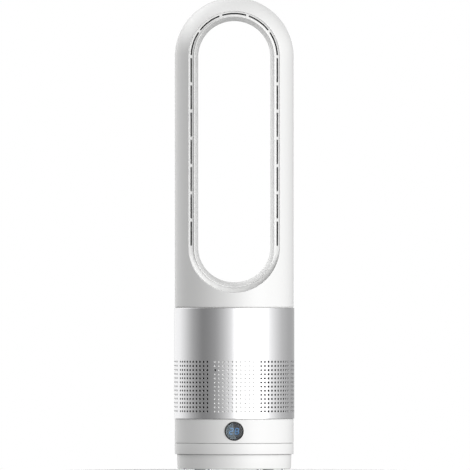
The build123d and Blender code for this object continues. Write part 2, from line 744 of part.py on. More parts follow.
def slot_ring():
    """Floor of the front channel, with the air slots."""
    back = CHANNEL_FRONT + CHANNEL_THICKNESS
    floor = stadium(CHANNEL_OUT, CHANNEL_FRONT, back) - stadium(CHANNEL_IN, CHANNEL_FRONT - 1, back + 1)
    pitch = (ARC_HIGH - ARC_LOW) / SLOTS_PER_SIDE
    half_w = SLOT_WIDTH / 2
    half_l = SLOT_LENGTH / 2
    for side in (-1, 1):
        x = side * SLOT_MIDDLE
        for i in range(SLOTS_PER_SIDE):
            z = ARC_LOW + (i + 0.5) * pitch
            floor -= block(x - half_w, x + half_w, -FAR, 0, z - half_l, z + half_l)
    arc_pitch = 180 / ARC_SLOTS
    for i in range(ARC_SLOTS):
        start = (i + 0.5) * arc_pitch - ARC_SLOT_SPAN / 2
        outer = Cylinder(SLOT_MIDDLE + half_w, 10, arc_size=ARC_SLOT_SPAN)
        inner = Cylinder(SLOT_MIDDLE - half_w, 10, arc_size=ARC_SLOT_SPAN)
        floor -= Pos(0, CHANNEL_FRONT, ARC_HIGH) * Rot(90, 0, 0) * Rot(0, 0, start) * (outer - inner)
    return floor


def nozzle_liner(outer):
    """Inner wall of the loop, narrowing towards the back."""
    tube = liner_hole(LINER_IN + LINER_WALL, LINER_FRONT) - liner_hole(LINER_IN, LINER_FRONT - 1)
    return tube & outer


def duct_vanes(inner):
    """Stiffening vanes inside both legs, in line with the air."""
    keep_out = liner_hole(LINER_IN + LINER_WALL + 0.3, LINER_FRONT)
    vanes = []
    for side in (-1, 1):
        for y in (-25.0, 15.0):
            for low, high in ((455, 535), (565, 645)):
                x0, x1 = sorted((side * 60, side * 110))
                vanes.append((block(x0, x1, y, y + 1.6, low, high) - keep_out) & inner)
    return group(vanes)


def loop_screws():
    screws = []
    for x, z in loop_screw_places():
        screws.append(rod_y(3.0, 3.0, 5.2, x, z) + rod_y(1.4, -14, 3.0, x, z))
    return group(screws)


# ---------------------------------------------------------------- assembly
def build():
    outer = loop_body(0)
    inner = loop_body(WALL)
    return {
        "base_pan": base_pan(),
        "base_plate": base_plate(),
        "ballast_plate": ballast_plate(),
        "rubber_feet": rubber_feet(),
        "base_screws": base_screws(),
        "power_inlet": power_inlet(),
        "inlet_pins": inlet_pins(),
        "glide_ring": glide_ring(),
        "swing_gear": swing_gear(),
        "gear_screws": gear_screws(),
        "swing_pinion": swing_pinion(),
        "swing_shaft": swing_shaft(),
        "swing_motor": swing_motor(),
        "swing_motor_screws": swing_motor_screws(),
        "turntable": turntable(),
        "turntable_screws": turntable_screws(),
        "display_housing": display_housing(),
        "display_ring": display_ring(),
        "display_lens": display_lens(),
        "led_display": led_display(),
        "display_board": display_board(),
        "push_switches": push_switches(),
        "main_board": main_board(),
        "board_components": board_components(),
        "board_screws": board_screws(),
        "chassis": chassis(),
        "front_sleeve": front_sleeve(),
        "ir_receiver": ir_receiver(),
        "side_prefilters": side_prefilters(),
        "intake_cage": intake_cage(),
        "rear_cover": rear_cover(),
        "cover_frame": cover_frame(),
        "cover_magnets": cover_magnets(),
        "catch_plates": catch_plates(),
        "filter_frame": filter_frame(),
        "filter_media": filter_media(),
        "filter_seals": filter_seals(),
        "isolation_ring": isolation_ring(),
        "blower_bucket": blower_bucket(),
        "impeller": impeller(),
        "impeller_nut": impeller_nut(),
        "motor_shaft": motor_shaft(),
        "motor_rotor": motor_rotor(),
        "motor_stator": motor_stator(),
        "motor_housing": motor_housing(),
        "motor_bearings": motor_bearings(),
        "motor_sleeve": motor_sleeve(),
        "diffuser": diffuser(),
        "motor_cap": motor_cap(),
        "diffuser_gasket": diffuser_gasket(),
        "terminal_block": terminal_block(),
        "motor_lead": motor_lead(),
        "adapter_ring": adapter_ring(),
        "adapter_screws": adapter_screws(),
        "loop_front_shell": loop_front_shell(outer, inner),
        "loop_rear_shell": loop_rear_shell(outer, inner),
        "slot_ring": slot_ring(),
        "nozzle_liner": nozzle_liner(outer),
        "duct_vanes": duct_vanes(inner),
        "loop_screws": loop_screws(),
    }


os.makedirs("parts", exist_ok=True)
for name, shape in build().items():
    export_step(shape, f"parts/{name}.step")
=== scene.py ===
import functools
import json
import math

import bmesh
import bpy
from mathutils import Matrix, Vector

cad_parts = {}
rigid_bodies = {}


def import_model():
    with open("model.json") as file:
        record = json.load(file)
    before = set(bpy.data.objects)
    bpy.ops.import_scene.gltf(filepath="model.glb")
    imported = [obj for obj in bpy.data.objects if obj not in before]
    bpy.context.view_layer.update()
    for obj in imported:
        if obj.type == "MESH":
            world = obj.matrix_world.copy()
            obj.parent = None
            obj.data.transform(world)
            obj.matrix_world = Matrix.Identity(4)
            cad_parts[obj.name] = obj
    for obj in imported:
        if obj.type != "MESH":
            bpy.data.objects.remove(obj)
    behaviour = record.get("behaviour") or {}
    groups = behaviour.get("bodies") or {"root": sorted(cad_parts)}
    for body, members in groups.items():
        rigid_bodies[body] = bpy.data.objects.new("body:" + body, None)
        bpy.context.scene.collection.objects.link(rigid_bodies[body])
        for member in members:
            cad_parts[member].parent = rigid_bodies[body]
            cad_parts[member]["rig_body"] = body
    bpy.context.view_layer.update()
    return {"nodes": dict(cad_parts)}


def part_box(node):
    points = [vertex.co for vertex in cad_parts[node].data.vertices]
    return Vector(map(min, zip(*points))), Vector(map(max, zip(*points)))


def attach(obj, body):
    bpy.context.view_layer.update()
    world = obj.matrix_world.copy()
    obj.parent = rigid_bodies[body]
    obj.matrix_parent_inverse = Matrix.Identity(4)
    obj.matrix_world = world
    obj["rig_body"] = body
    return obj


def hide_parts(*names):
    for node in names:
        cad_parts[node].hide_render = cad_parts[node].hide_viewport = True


# Looks of the bladeless tower fan. Lengths below are millimetres unless a name says metres.
# Azimuths are in degrees from the front (-Y) towards +X.

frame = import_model()


# --- sizes, read from the frame
def limits(node):
    """Lowest and highest corner of a CAD node, in millimetres."""
    low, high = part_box(node)
    return low * 1000, high * 1000


shell_low, shell_high = limits("loop_front_shell")
floor_low, floor_high = limits("slot_ring")
sleeve_low, sleeve_high = limits("front_sleeve")
turn_low, turn_high = limits("turntable")
pan_low, pan_high = limits("base_pan")
bezel_low, bezel_high = limits("display_ring")
lens_low, lens_high = limits("display_lens")
inlet_low, inlet_high = limits("power_inlet")
media_low, media_high = limits("filter_media")
liner_low = limits("nozzle_liner")[0]
foot_high = limits("rubber_feet")[1]
band_high = limits("display_housing")[1]
led_low = limits("led_display")[0]

# Loop: a cylinder with a domed top, round a stadium-shaped opening.
BODY_R = shell_high.x
WALL = 2.5
RIM = 0.6                 # rounding of moulded rims
LOOP_LOW = shell_low.z
ARC_HIGH = shell_high.z - BODY_R
PARTING = 0.15            # half of the gap between the front and rear shells
CHANNEL_OUT = floor_high.x
CHANNEL_IN = 69.3         # runs just into the inner wall, so that no gap shows
ARC_LOW = floor_low.z + CHANNEL_OUT
SHELL_OPENING = CHANNEL_OUT + 0.2
FLANGE_BACK = -61.5
FLANGE_OUT = SHELL_OPENING + 2.2
LOOP_BACK = 42.0
BACK_EDGE_R = 12.0
SHOULDER_HIGH = 352.0
SHOULDER_BLEND = 12.0

# Inner wall and slots.
LINER_IN = 68.1
LINER_WALL = 1.5
LINER_FRONT = liner_low.y
DRAFT = math.tan(math.radians(3.22))
SLOT_MIDDLE = 73.9
SLOT_HALF_W = 1.15
SLOT_HALF_L = 20.9
SIDE_SLOTS = 7
ARC_SLOTS = 5

# Screws of the loop, seen from behind.
SCREW_REACH = 82.6
SCREW_HEIGHTS = (440, 550, 660)
WELL_R = 3.4
WELL_FLOOR = 3.0
BOSS_R = 4.5
BOSS_TOP = 39.0
SCREW_R = 1.7

# Perforated sleeve.
SLEEVE_R = sleeve_high.x
SHEET = 1.2
SPLIT = 112.2             # azimuth of the joint between the sleeve and the rear cover
COVER_EDGE = 247.2        # the same, of the cover's own edge
HOLE_R = 1.8
HOLE_ROWS = 13
ROW_PITCH = 7.08
TOP_ROW = 187.5
COLUMN_STEP = 360 / 88
SOLID_EVERY = 11          # one column in this many has no holes

# Display.
DISPLAY_Z = (bezel_low.z + bezel_high.z) / 2
BEZEL_R = bezel_high.x
LENS_R = lens_high.x
POCKET_R = BEZEL_R + 0.35

# How finely the meshes are drawn.
SIDE_EDGE = 0.03          # angle from the parting plane over which a skin's last points stand
BLEND_STARTS = 15.0       # degrees below the horizontal at which the spacing of points starts to change
CREASE = 40.0             # degrees at which an edge of the loop is sharp
SIDE_STEPS = 24           # cross-sections up each straight side of the loop
ROUND = 224               # steps round the pedestal and the turning ring


# --- mesh helpers
def piece(name, build, finishes, body, stands_for=(), slot=None, crease=32.0):
    """Mesh object from millimetre points, welded, with smooth faces and sharp edges where it turns."""
    mesh = bpy.data.meshes.new(name)
    mesh.from_pydata([(x / 1000, y / 1000, z / 1000) for x, y, z in build.points], [], build.faces)
    mesh.polygons.foreach_set("material_index", build.tags)
    shape = bmesh.new()
    shape.from_mesh(mesh)
    bmesh.ops.remove_doubles(shape, verts=shape.verts, dist=3e-6)
    bmesh.ops.dissolve_degenerate(shape, edges=shape.edges, dist=1e-6)
    by_corners = {}
    for face in shape.faces:
        by_corners.setdefault(frozenset(face.verts), []).append(face)
    inner_walls = [face for twins in by_corners.values() if len(twins) > 1 for face in twins]
    bmesh.ops.delete(shape, geom=inner_walls, context="FACES")
    bmesh.ops.recalc_face_normals(shape, faces=shape.faces)
    for face in shape.faces:
        face.smooth = True
    shape.to_mesh(mesh)
    shape.free()
    mesh.set_sharp_from_angle(angle=math.radians(crease))
    made = bpy.data.objects.new(name, mesh)
    bpy.context.scene.collection.objects.link(made)
    for finish in finishes if isinstance(finishes, tuple) else (finishes,):
        mesh.materials.append(finish)
    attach(made, body)
    if stands_for:
        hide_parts(*stands_for)
    return made


class Build:
    """Collects points and faces of one piece."""

    def __init__(self):
        self.points = []
        self.faces = []
        self.tags = []

    def face(self, corners, tag=0):
        """One face, with the number of the finish it takes."""
        self.faces.append(tuple(corners))
        self.tags.append(tag)

    def loops(self, rings, close_rings=True, close_loop=True, second=range(0)):
        """Quads between rings with the same number of points. Steps in second take the second finish."""
        start = len(self.points)
        count = len(rings[0])
        for ring in rings:
            self.points.extend(ring)
        pairs = len(rings) if close_loop else len(rings) - 1
        steps = count if close_rings else count - 1
        for i in range(pairs):
            a = start + i * count
            b = start + (i + 1) % len(rings) * count
            for j in range(steps):
                k = (j + 1) % count
                self.face((a + j, a + k, b + k, b + j), 1 if j in second else 0)

    def lathe(self, section, steps=192, place=None, second=range(0)):
        """Closed section of radius and height turned about Z, or about the place's own Z."""
        rings = []
        for i in range(steps):
            angle = 2 * math.pi * i / steps
            ring = [(r * math.sin(angle), -r * math.cos(angle), z) for r, z in section]
            if place is not None:
                ring = [tuple(place @ Vector(point)) for point in ring]
            rings.append(ring)
        self.loops(rings, second=second)

    def make(self, name, *args, **kwargs):
        """The finished piece; the arguments are those of piece()."""
        return piece(name, self, *args, **kwargs)


def rounded(corners, steps=5):
    """Polygon whose corners, given as (a, b, radius), are filleted."""
    outline = []
    count = len(corners)
    for i, (a, b, radius) in enumerate(corners):
        if radius == 0:
            outline.append((a, b))
            continue
        before = corners[i - 1]
        after = corners[(i + 1) % count]
        outline += corner_arc((a, b), before[:2], after[:2], radius, steps)
    return outline


def corner_arc(corner, before, after, radius, steps=5):
    """Points of a fillet at a corner, from the side of before to the side of after."""
    here = Vector(corner)
    u = (Vector(before) - here).normalized()
    v = (Vector(after) - here).normalized()
    half = u.angle(v) / 2
    reach = radius / math.tan(half)
    centre = here + (u + v).normalized() * (radius / math.sin(half))
    start = here + u * reach - centre
    end = here + v * reach - centre
    span = start.angle(end)
    arc = []
    for i in range(steps + 1):
        t = i / steps
        point = (start * math.sin((1 - t) * span) + end * math.sin(t * span)) / math.sin(span)
        arc.append(tuple(centre + point))
    return arc


def at(radius, azimuth):
    """X and Y at a radius and an azimuth."""
    angle = math.radians(azimuth)
    return radius * math.sin(angle), -radius * math.cos(angle)


def cut(target, build, name="cutter"):
    """Removes a closed shape from a piece, and keeps the result in its mesh."""
    cutter = build.make(name, tuple(target.data.materials), target["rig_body"])
    boolean = target.modifiers.new("cut", "BOOLEAN")
    boolean.object = cutter
    boolean.operation = "DIFFERENCE"
    boolean.solver = "EXACT"
    bpy.context.view_layer.update()
    evaluated = target.evaluated_get(bpy.context.evaluated_depsgraph_get())
    result = bpy.data.meshes.new_from_object(evaluated)
    target.modifiers.clear()
    target.data = result
    for polygon in result.polygons:
        polygon.use_smooth = True
    result.set_sharp_from_angle(angle=math.radians(32.0))
    bpy.data.objects.remove(cutter)


# --- finishes
def surface(name, colour, roughness, metallic=0.0, mottle=0.02, wear=0.04, grain=900.0, depth=0.00002,
            stretch=(1, 1, 1), **sockets):
    """Procedural finish: slight colour and gloss variation, and a fine grain in the normal."""
    made = bpy.data.materials.new(name)
    made.use_nodes = True
    nodes = made.node_tree.nodes
    links = made.node_tree.links
    shader = nodes["Principled BSDF"]
    place = nodes.new("ShaderNodeTexCoord")
    scale = nodes.new("ShaderNodeMapping")
    scale.inputs["Scale"].default_value = stretch
    links.new(place.outputs["Object"], scale.inputs["Vector"])
    broad = nodes.new("ShaderNodeTexNoise")
    broad.inputs["Scale"].default_value = 38.0
    broad.inputs["Detail"].default_value = 3.0
    links.new(place.outputs["Object"], broad.inputs["Vector"])
    tint = nodes.new("ShaderNodeMix")
    tint.data_type = "RGBA"
    tint.inputs["A"].default_value = (*[c * (1 - mottle) for c in colour], 1)
    tint.inputs["B"].default_value = (*[min(1, c * (1 + mottle)) for c in colour], 1)
    links.new(broad.outputs["Fac"], tint.inputs["Factor"])
    links.new(tint.outputs["Result"], shader.inputs["Base Color"])
    gloss = nodes.new("ShaderNodeMapRange")
    gloss.inputs["From Min"].default_value = 0.3
    gloss.inputs["From Max"].default_value = 0.7
    gloss.inputs["To Min"].default_value = max(0.01, roughness - wear)
    gloss.inputs["To Max"].default_value = roughness + wear
    links.new(broad.outputs["Fac"], gloss.inputs["Value"])
    links.new(gloss.outputs["Result"], shader.inputs["Roughness"])
    fine = nodes.new("ShaderNodeTexNoise")
    fine.inputs["Scale"].default_value = grain
    fine.inputs["Detail"].default_value = 2.0
    links.new(scale.outputs["Vector"], fine.inputs["Vector"])
    bump = nodes.new("ShaderNodeBump")
    bump.inputs["Strength"].default_value = 1.0
    bump.inputs["Distance"].default_value = depth
    links.new(fine.outputs["Fac"], bump.inputs["Height"])
    links.new(bump.outputs["Normal"], shader.inputs["Normal"])
    shader.inputs["Metallic"].default_value = metallic
    for socket, value in sockets.items():
        shader.inputs[socket.replace("_", " ")].default_value = value
    return made


white = surface("white_gloss_plastic", (0.86, 0.86, 0.855), 0.24, mottle=0.002, wear=0.008, depth=0.000002)
inner_white = surface("inner_white_plastic", (0.88, 0.88, 0.87), 0.5, mottle=0.01, depth=0.00001)
aluminium = surface("satin_aluminium", (0.83, 0.83, 0.84), 0.2, metallic=1.0, mottle=0.008, wear=0.02,
                    grain=2600.0, depth=0.0000015, stretch=(1, 1, 0.05))
steel = surface("plain_steel", (0.56, 0.56, 0.58), 0.32, metallic=1.0, grain=1500.0, stretch=(1, 1, 0.1))
zinc = surface("zinc_screws", (0.7, 0.7, 0.73), 0.25, metallic=1.0)
rubber = surface("grey_rubber", (0.48, 0.48, 0.48), 0.72, mottle=0.06, grain=2400.0, depth=0.00003)
foam = surface("foam_rubber", (0.035, 0.035, 0.035), 0.95, grain=1800.0, depth=0.0002)
# Near-black finish of the loop's inner faces and slot walls: painted shade, standing in for the shadow deep
# inside the slots and the duct.
painted_duct_shade = surface("duct_inside_painted_shade", (0.012, 0.012, 0.013), 0.7, grain=1200.0)
dark = surface("dark_plastic", (0.03, 0.03, 0.032), 0.5, grain=1600.0, depth=0.00003)
joint = surface("joint_ring_plastic", (0.72, 0.72, 0.71), 0.55, grain=1400.0, depth=0.00002)
# Dark grey of the spigot inside the seam above the turning ring: painted shade of the narrow gap.
seam_painted_shade = surface("seam_painted_shade", (0.2, 0.2, 0.2), 0.7, grain=1400.0, depth=0.00002)
bezel_black = surface("bezel_black", (0.018, 0.018, 0.02), 0.22, grain=1400.0, depth=0.000004)
acetal = surface("acetal", (0.82, 0.82, 0.76), 0.4)
brass = surface("brass", (0.74, 0.55, 0.26), 0.28, metallic=1.0)
board_green = surface("board_green", (0.02, 0.13, 0.05), 0.35, mottle=0.15)
component = surface("component_black", (0.03, 0.03, 0.035), 0.45)
mesh_black = surface("prefilter_mesh", (0.005, 0.005, 0.005), 0.9, grain=1300.0, depth=0.0003)
paper = surface("filter_paper", (0.8, 0.8, 0.77), 0.9, mottle=0.05, grain=1500.0, depth=0.0001)
wheel_grey = surface("impeller_plastic", (0.09, 0.1, 0.11), 0.42, mottle=0.1)
copper = surface("copper_winding", (0.5, 0.24, 0.1), 0.35, metallic=1.0, grain=1200.0, depth=0.0002,
                 stretch=(1, 1, 8))
nickel = surface("magnet_nickel", (0.5, 0.5, 0.5), 0.2, metallic=1.0)
led_face = surface("display_face", (0.01, 0.024, 0.042), 0.35)


def smoked_glass():
    """Clear, grey-tinted plastic of the display's lens."""
    made = surface("smoked_lens", (0.42, 0.44, 0.47), 0.03, mottle=0.0, wear=0.01, depth=0.0)
    shader = made.node_tree.nodes["Principled BSDF"]
    shader.inputs["Transmission Weight"].default_value = 1.0
    shader.inputs["IOR"].default_value = 1.49
    return made


def lit(name, colour, strength):
    """Lit part of the number display."""
    made = surface(name, (0.02, 0.03, 0.04), 0.4)
    shader = made.node_tree.nodes["Principled BSDF"]
    shader.inputs["Emission Color"].default_value = (*colour, 1)
    shader.inputs["Emission Strength"].default_value = strength
    return made


lens_glass = smoked_glass()
digit_blue = lit("digit_blue", (0.07, 0.32, 0.68), 1.25)
tick_blue = lit("tick_blue", (0.16, 0.26, 0.36), 0.25)


# --- loop shells
class Ray:
    """Direction in which the loop's cross-section is taken, from a centre of the opening's outline."""

    def __init__(self, centre_z, degrees, dome=False):
        self.z = centre_z
        self.dx = math.cos(math.radians(degrees))
        self.dz = math.sin(math.radians(degrees))
        self.dome = dome
        self.spread = 1.0 if dome else abs(self.dx)

    def point(self, s, y):
        return self.dx * s, y, self.z + self.dz * s


def rays(quarter=range(0, 91, 3)):
    """All cross-sections round the loop, in order. The quarter is the angles from the side to the bottom."""
    side = ARC_HIGH - ARC_LOW
    found = [Ray(ARC_HIGH, 3 * i, True) for i in range(61)]
    found += [Ray(ARC_HIGH - side * i / SIDE_STEPS, 180) for i in range(1, SIDE_STEPS)]
    found += [Ray(ARC_LOW, 180 + angle) for angle in quarter]
    found += [Ray(ARC_LOW, 360 - angle) for angle in reversed(quarter[:-1])]
    found += [Ray(ARC_LOW + side * i / SIDE_STEPS, 0) for i in range(1, SIDE_STEPS)]
    return found


def rim_inset(z):
    """How far the rounded bottom edge of the loop housing stands in at this height."""
    above = z - LOOP_LOW
    if above >= RIM:
        return 0.0
    return RIM - math.sqrt(max(RIM * RIM - (RIM - max(above, 0)) ** 2, 0))


def skin_radius(ray, z, inset):
    """Radius of the housing at this height."""
    return BODY_R - inset - (0 if ray.dome else rim_inset(z))


def soft_max(a, b, width):
    """The larger of two values, blended where they are closer than width."""
    h = max(width - abs(a - b), 0) / width
    return max(a, b) + h * h * width / 4


def back_depth(u, z, inset, ray):
    """Y of the rear skin at half-width u: a circle with a flat back, and a slope at the shoulder."""
    radius = skin_radius(ray, z, inset)
    flat = LOOP_BACK - inset
    if not ray.dome:
        slope = LOOP_BACK + SHOULDER_HIGH - inset * math.sqrt(2) - z
        flat = min(soft_max(flat, slope, SHOULDER_BLEND), radius)
    edge = BACK_EDGE_R - inset
    centre = flat - edge
    reach = math.sqrt(max((radius - edge) ** 2 - centre * centre, 0))
    if u <= reach:
        return flat
    if u < reach * radius / (radius - edge):
        return centre + math.sqrt(max(edge * edge - (u - reach) ** 2, 0))
    return math.sqrt(max(radius * radius - u * u, PARTING * PARTING))


def front_depth(u, z, inset, ray):
    """Y of the front skin at half-width u."""
    radius = skin_radius(ray, z, inset)
    return -math.sqrt(max(radius * radius - u * u, PARTING * PARTING))


def evenness(ray, radius):
    """How far a ray's points stand at even distances, which all rays to the bottom edge share, rather than
    at even turns round the housing. It grows to 1 at the lower corner."""
    corner = math.degrees(math.atan2(ARC_LOW - LOOP_LOW, radius))
    below = math.degrees(math.atan2(-ray.dz, abs(ray.dx)))
    share = min(1, max(0, (below - BLEND_STARTS) / (corner - BLEND_STARTS)))
    return share * share * (3 - 2 * share)


def skin(ray, s_start, inset, depth, count=72, edge_steps=5):
    """Points of one skin along a ray, from the opening to the parting plane or the bottom edge."""
    radius = BODY_R - inset
    drop = ARC_LOW - LOOP_LOW
    limit = math.sqrt(radius * radius - PARTING * PARTING)
    s_side = limit / ray.spread if ray.spread > 1e-6 else math.inf
    fall = 0 if ray.dome else -ray.dz
    s_floor = drop / fall if fall > 1e-6 else math.inf
    ends_low = s_floor < s_side
    if ends_low:
        turns = [math.pi / 2 * i / edge_steps for i in range(edge_steps + 1)]
        s_main, *tail = [(ray.z - LOOP_LOW - RIM * (1 - math.sin(turn))) / fall for turn in turns]
        stop = math.hypot(radius, drop)
    else:
        turns = [math.pi / 2 - SIDE_EDGE * (1 - i / edge_steps) for i in range(edge_steps + 1)]
        s_main, *tail = [radius * math.sin(turn) / ray.spread for turn in turns]
        stop = s_main
    even = 1.0 if ends_low else evenness(ray, radius)
    start = math.asin(min(1, ray.spread * s_start / radius))
    places = []
    for i in range(count):
        t = i / (count - 1)
        s = s_start + (stop - s_start) * t
        if even < 1:
            turned = radius * math.sin(start + (math.pi / 2 - SIDE_EDGE - start) * t) / ray.spread
            s = turned + (s - turned) * even
        places.append(min(s_main, s))
    found = []
    for s in places + tail:
        x, _, z = ray.point(s, 0)
        u = s if ray.dome else abs(x)
        here = math.sqrt(skin_radius(ray, z, inset) ** 2 - PARTING ** 2)
        if u > here:
            s *= here / u
            x, _, z = ray.point(s, 0)
            u = here
        found.append(ray.point(s, depth(u, z, inset, ray)))
    return found


def housing_rays():
    """Cross-sections for the shells: the lower ones take even steps round the housing's bottom edge."""
    drop = ARC_LOW - LOOP_LOW
    ends = [(BODY_R, drop - height) for height in (8 * RIM, 2.4 * RIM, RIM, 0.35 * RIM)]
    ends += [(BODY_R * math.sin(math.radians(turn)), drop) for turn in range(90, 0, -3)]
    lower = [math.degrees(math.atan2(below, x)) for x, below in ends]
    return rays([*range(0, int(lower[0]), 3), *lower, 90])


def front_section(ray):
    """Closed cross-section of the front shell."""
    s0 = SHELL_OPENING
    u0 = s0 * ray.spread
    y0 = front_depth(u0, ray.z if ray.dome else ray.point(s0, 0)[2], 0, ray)
    slope = ray.spread * u0 / abs(y0)
    arc = corner_arc((s0, y0), (s0, y0 + 1), (s0 + 1, y0 + slope), RIM)
    section = [ray.point(s0, FLANGE_BACK)]
    section += [ray.point(s, y) for s, y in arc[:-1]]
    section += skin(ray, arc[-1][0], 0, front_depth)
    visible = len(section)
    inner_r = BODY_R - WALL
    meet = math.sqrt(inner_r ** 2 - FLANGE_BACK ** 2) / max(ray.spread, 1e-6)
    s_in = min(FLANGE_OUT, meet)
    section += reversed(skin(ray, s_in, WALL, front_depth))
    section.append(ray.point(s_in, FLANGE_BACK))
    return section, range(visible, len(section) - 1)


def liner_width(y):
    """Half-width inside the drafted inner wall."""
    return LINER_IN - (y - LINER_FRONT) * DRAFT


def back_edge(ray, extra, inset):
    """Where a drafted wall of the opening meets the rear skin."""
    y = LOOP_BACK
    for _ in range(30):
        s = liner_width(y) + extra
        x, _, z = ray.point(s, 0)
        y = back_depth(s if ray.dome else abs(x), z, inset, ray)
    return s, y


def rear_section(ray):
    """Closed cross-section of the rear shell."""
    gap = LINER_WALL + 0.15
    s0, y0 = back_edge(ray, gap, 0)
    x1, _, z1 = ray.point(s0 + 1, 0)
    y1 = back_depth(s0 + 1 if ray.dome else abs(x1), z1, 0, ray)
    arc = corner_arc((s0, y0), (s0 + DRAFT, y0 - 1), (s0 + 1, y1), 0.5)
    s_in, y_in = back_edge(ray, gap, WALL)
    section = [ray.point(s_in, y_in)]
    section += [ray.point(s, y) for s, y in arc[:-1]]
    section += skin(ray, arc[-1][0], 0, back_depth)
    visible = len(section)
    section += reversed(skin(ray, s_in, WALL, back_depth))
    return section, range(visible, len(section))


def loop_front():
    """Front shell."""
    shell = Build()
    sections = [front_section(ray) for ray in housing_rays()]
    # The inner skin takes the second finish, the painted shade of the duct.
    shell.loops([points for points, _ in sections], second=sections[0][1])
    return shell.make("front_shell", (white, painted_duct_shade), "column", ["loop_front_shell"], "white_shell",
                      CREASE)


def screw_places():
    """X and Z of the screws that hold the rear shell."""
    sides = [(side * SCREW_REACH, z) for side in (-1, 1) for z in SCREW_HEIGHTS]
    return sides + [(0, ARC_HIGH + SCREW_REACH)]


def turned_to_y(x, z):
    """Placement whose own Z points along +Y."""
    return Matrix.Translation((x, 0, z)) @ Matrix.Rotation(math.radians(-90), 4, "X")


def loop_rear():
    """Rear shell with its screw wells, and the bosses in them."""
    shell = Build()
    sections = [rear_section(ray) for ray in housing_rays()]
    # The inner skin takes the second finish, the painted shade of the duct.
    shell.loops([points for points, _ in sections], second=sections[0][1])
    made = shell.make("rear_shell", (white, painted_duct_shade), "column", ["loop_rear_shell"], "white_shell",
                      CREASE)
    above = LOOP_BACK + 2
    well = [(0, WELL_FLOOR), (WELL_R, WELL_FLOOR), (WELL_R, above), (0, above)]
    front = 2 * PARTING
    tube = [(SCREW_R, front), (BOSS_R, front), (BOSS_R, BOSS_TOP), (WELL_R, BOSS_TOP), (WELL_R, WELL_FLOOR),
            (SCREW_R, WELL_FLOOR)]
    wells = Build()
    bosses = Build()
    for x, z in screw_places():
        wells.lathe(well, 32, turned_to_y(x, z))
        bosses.lathe(tube, 32, turned_to_y(x, z))
    cut(made, wells)
    bosses.make("rear_screw_bosses", inner_white, "column", slot="white_shell")
    return made


def liner():
    """Inner wall of the loop: rounded lip at the front, flush with the rear shell at the back."""
    wall = Build()
    lip = LINER_WALL / 2
    outside_steps = 8
    rings = []
    for ray in rays():
        s_back, y_back = back_edge(ray, 0, 0)
        s_out, y_out = back_edge(ray, LINER_WALL, 0)
        ring = []
        for i in range(9):
            angle = math.pi * i / 8
            y = LINER_FRONT + lip - lip * math.sin(angle)
            ring.append((LINER_IN + lip + lip * math.cos(angle) - (lip * DRAFT), y))
        for i in range(1, 30):
            y = LINER_FRONT + lip + (y_back - 0.5 - LINER_FRONT - lip) * i / 29
            ring.append((liner_width(y), y))
        before, after = (s_back + DRAFT, y_back - 1), (s_back + 1, y_back)
        ring += corner_arc((s_back, y_back), before, after, 0.45, 4)[1:]
        ring.append((s_out, y_out))
        for i in range(1, outside_steps):
            y = y_out + (LINER_FRONT + lip + 1 - y_out) * i / outside_steps
            ring.append((liner_width(y) + LINER_WALL, y))
        rings.append([ray.point(s, y) for s, y in ring])
    count = len(rings[0])
    # The outer side of the wall takes the second finish, the painted shade of the duct.
    wall.loops(rings, second=range(count - outside_steps, count - 1))
    return wall.make("inner_wall", (white, painted_duct_shade), "column", ["nozzle_liner"], "white_shell", CREASE)


# --- channel floor with its slots
def slot_steps():
    """Rays round the outline and the half-width of the slot at each, with rounded slot ends."""
    ends = (0.0, 0.04, 0.16, 0.42, 0.8, SLOT_HALF_W)
    inside = [-SLOT_HALF_L + e for e in ends] + [-12.0, -5.0, 5.0, 12.0]
    inside += [SLOT_HALF_L - e for e in reversed(ends)]
    shares = []
    for t in inside:
        near = min(SLOT_HALF_L - abs(t), SLOT_HALF_W)
        shares.append((t, math.sqrt(max(SLOT_HALF_W ** 2 - (SLOT_HALF_W - near) ** 2, 0))))
    steps = []
    side_pitch = (ARC_HIGH - ARC_LOW) / SIDE_SLOTS
    for i in range(ARC_SLOTS):
        middle = (i + 0.5) * 180 / ARC_SLOTS
        steps.append((Ray(ARC_HIGH, middle - 90 / ARC_SLOTS, True), 0.0))
        for t, half in shares:
            steps.append((Ray(ARC_HIGH, middle + math.degrees(t / SLOT_MIDDLE), True), half))
    for i in range(SIDE_SLOTS):
        middle = ARC_HIGH - (i + 0.5) * side_pitch
        steps.append((Ray(middle + side_pitch / 2, 180), 0.0))
        steps += [(Ray(middle - t, 180), half) for t, half in shares]
    steps += [(Ray(ARC_LOW, 180 + 3 * i), 0.0) for i in range(60)]
    for i in range(SIDE_SLOTS):
        middle = ARC_LOW + (i + 0.5) * side_pitch
        steps.append((Ray(middle - side_pitch / 2, 0), 0.0))
        steps += [(Ray(middle + t, 0), half) for t, half in shares]
    return steps


def channel_floor():
    """Floor of the channel: two strips, inside and outside the slots, that meet between the slots."""
    front, back = floor_low.y, floor_high.y
    plate = Build()
    for side in (-1, 1):
        edge = CHANNEL_IN if side < 0 else CHANNEL_OUT
        rings = []
        for ray, half in slot_steps():
            soft = min(0.3, half * 0.5)
            lip = SLOT_MIDDLE + side * half
            ring = [(edge, front), (lip + side * soft, front), (lip + side * 0.3 * soft, front + 0.3 * soft),
                    (lip, front + soft), (lip, back), (edge, back)]
            rings.append([ray.point(s, y) for s, y in ring])
        # The slot walls and the back of the floor take the second finish, the painted shade inside the
        # slots.
        plate.loops(rings, second=range(3, 5))
    return plate.make("channel_floor", (white, painted_duct_shade), "column", ["slot_ring"], "white_shell", CREASE)


# --- perforated sleeve and rear cover
def cell_ring(half_a, half_b):
    """Sixteen points round the rectangle that holds one hole, from its right side, anticlockwise."""
    ring = []
    for i in range(16):
        angle = math.pi * i / 8
        c, s = math.cos(angle), math.sin(angle)
        reach = 1 / max(abs(c), abs(s))
        ring.append((half_a * c * reach, half_b * s * reach))
    return ring


